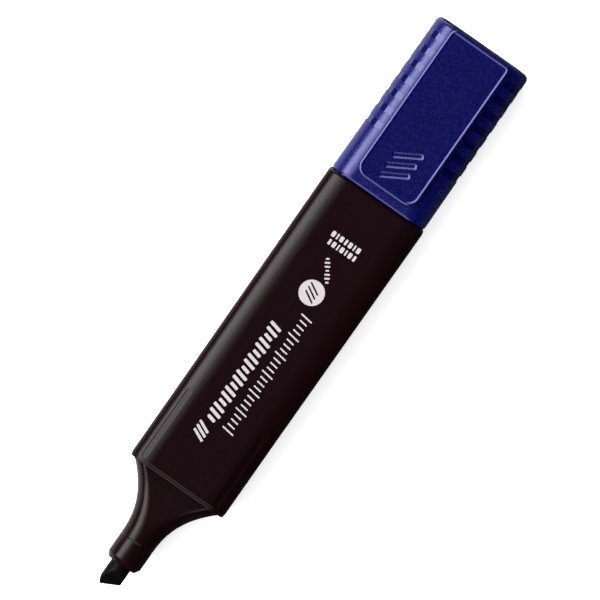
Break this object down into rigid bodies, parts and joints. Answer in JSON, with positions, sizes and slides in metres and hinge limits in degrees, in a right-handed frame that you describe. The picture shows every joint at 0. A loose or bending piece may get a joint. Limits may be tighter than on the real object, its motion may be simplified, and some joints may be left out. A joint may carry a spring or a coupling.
{
  "type": "highlighter pen",
  "caption": "Flat-bodied chisel-tip highlighter with flared nose, ribbed clip cap that slides off, and oval reservoir inside.",
  "frame": {"origin": "under the middle of the pen, on the surface that its back lies on", "axes": "+X along the pen, from the nib to the cap's closed end; +Z out of the front face, the one with the clip; +Y towards the long corner of the nib"},
  "size_m": [0.15, 0.0258, 0.0168],
  "materials": {
    "barrel_plastic": "satin black-brown moulded polypropylene",
    "nib_felt": "dense felt soaked in dark ink",
    "core_fibre": "polyester fibre soaked in dark ink",
    "film": "clear glossy film",
    "cap_plastic": "satin dark blue moulded polypropylene",
    "clip_plastic": "dark blue, spark-grained field with a smooth lip",
    "seal_plastic": "soft dark blue polyethylene"
  },
  "bodies": {
    "barrel": {"barrel_shell": "barrel_plastic", "nose_section": "barrel_plastic", "nib_holder": "barrel_plastic", "chisel_nib": "nib_felt", "ink_reservoir": "core_fibre", "reservoir_film": "film", "rear_plug": "barrel_plastic"},
    "cap": {"cap_shell": "cap_plastic", "cap_seal": "seal_plastic"},
    "clip": {"pocket_clip": "clip_plastic"}
  },
  "joints": [
    {"name": "cap_slide", "type": "slide", "parent": "barrel", "child": "cap", "axis": [1, 0, 0], "range_m": [0, 0.03]},
    {"name": "clip_flex", "type": "hinge", "parent": "cap", "child": "clip", "pos_m": [0.0748, 0, 0.01445], "axis": [0, 1, 0], "range_deg": [0, 4], "stiffness_Nm_per_rad": 0.5}
  ]
}
